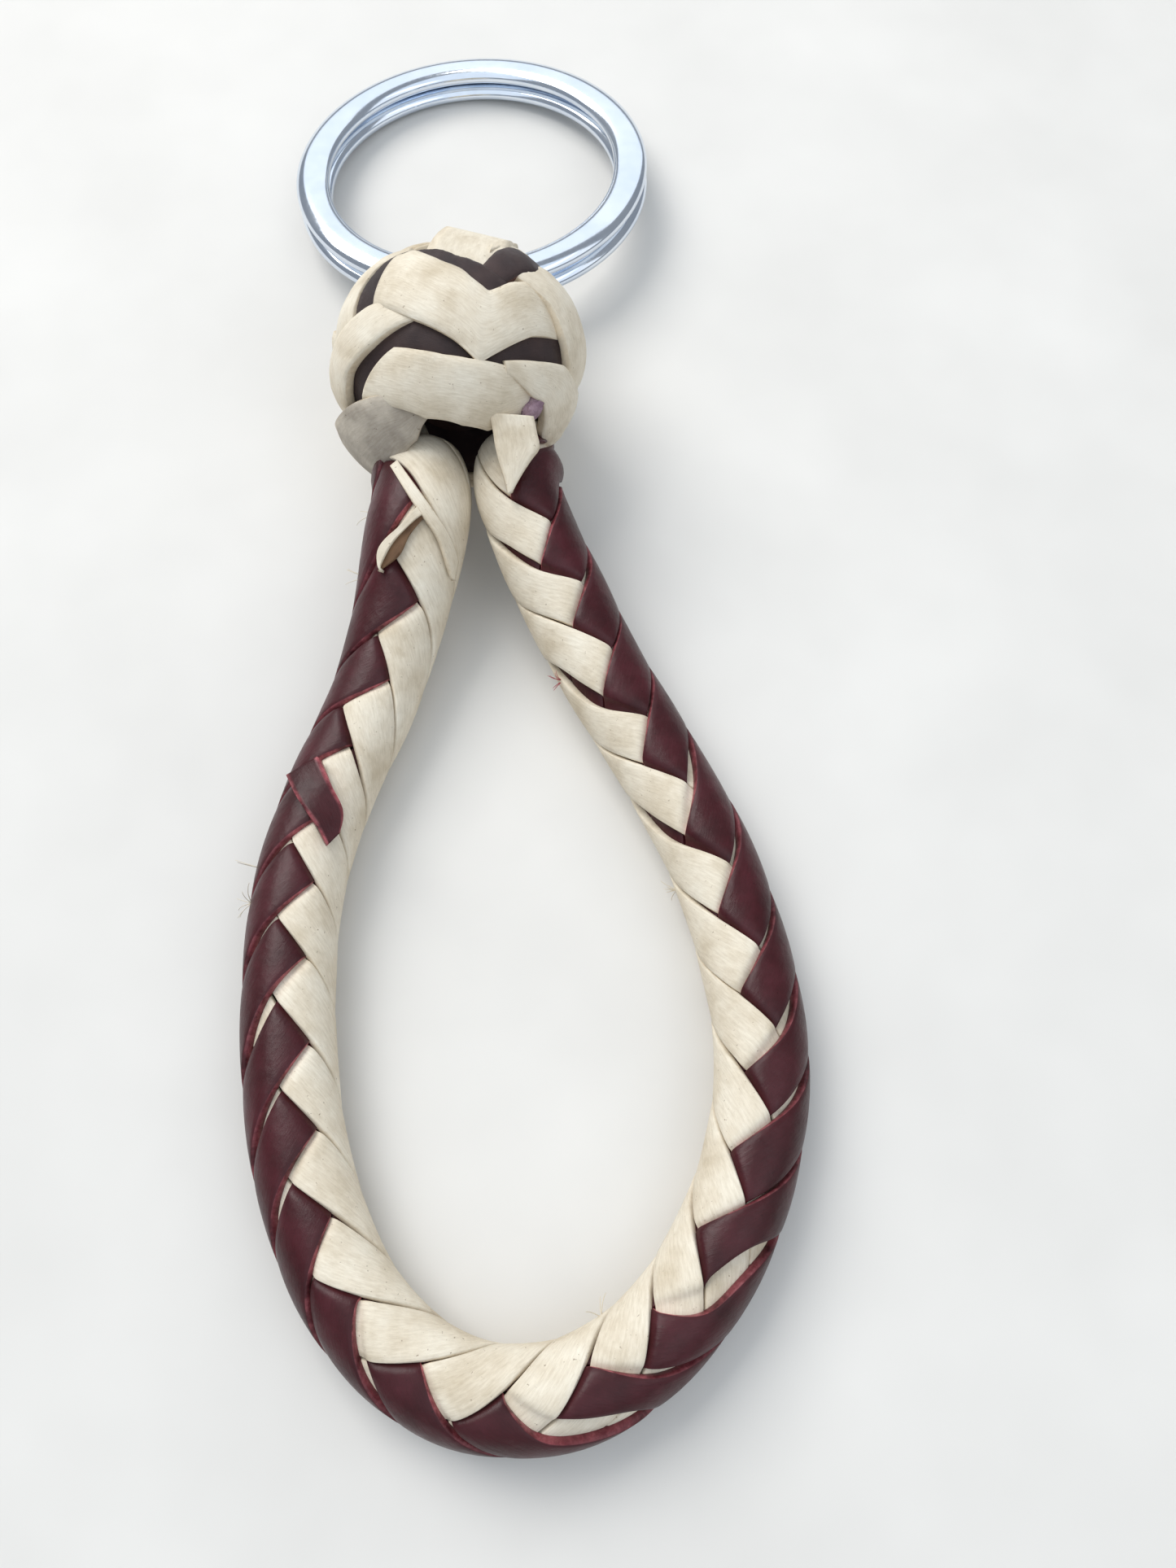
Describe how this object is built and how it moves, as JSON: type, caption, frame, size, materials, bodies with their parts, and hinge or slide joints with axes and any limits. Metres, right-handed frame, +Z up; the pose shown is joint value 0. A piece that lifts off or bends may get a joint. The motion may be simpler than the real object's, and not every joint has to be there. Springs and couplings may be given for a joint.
{
  "type": "wristlet keychain",
  "caption": "Wrist loop of two-colour round-braided leather lace with a woven ball knot and a hanger that holds a steel split ring for keys.",
  "frame": {"origin": "under the middle of the whole object, on the surface that it lies on", "axes": "+Z up from that surface; +Y from the wrist loop towards the split ring; +X to the right seen from above with the ring at the top"},
  "size_m": [0.0498, 0.1438, 0.0236],
  "materials": {
    "polished_steel": "polished plated steel, bright, fine wear along the coil edges",
    "cream_lace": "natural cream hide lace, matt, faint pores and brown specks",
    "burgundy_lace": "dyed burgundy leather lace, satin, with raw pink cut edges",
    "dark_lace": "dark brown leather lace, satin",
    "core_leather": "tan leather cord and packing, rough",
    "waxed_thread": "waxed binding thread"
  },
  "bodies": {
    "knot": {"knot_core": "core_leather", "knot_lace_cream": "cream_lace", "knot_lace_dark": "dark_lace", "neck_binding": "waxed_thread"},
    "hanger": {"ring_hanger": "cream_lace"},
    "ring": {"split_ring": "polished_steel"},
    "loop": {"loop_core": "core_leather", "lace_burgundy_1": "burgundy_lace", "lace_burgundy_2": "burgundy_lace", "lace_burgundy_3": "burgundy_lace", "lace_burgundy_4": "burgundy_lace", "lace_cream_1": "cream_lace", "lace_cream_2": "cream_lace", "lace_cream_3": "cream_lace", "lace_cream_4": "cream_lace", "splice_tail_burgundy": "burgundy_lace", "end_tail_cream": "cream_lace"}
  },
  "joints": [
    {"name": "loop_flex", "type": "hinge", "parent": "knot", "child": "loop", "pos_m": [-0.00406, 0.00625, 0.00934], "axis": [1, 0, 0], "range_deg": [-35, 35]},
    {"name": "hanger_swing", "type": "hinge", "parent": "knot", "child": "hanger", "pos_m": [-0.00586, 0.03115, 0.00894], "axis": [1, 0, 0], "range_deg": [-30, 60]},
    {"name": "ring_turn", "type": "hinge", "parent": "hanger", "child": "ring", "pos_m": [-0.00586, 0.05295, 0.00419], "axis": [-0.0349, 0.1183, 0.9924], "continuous": true}
  ]
}
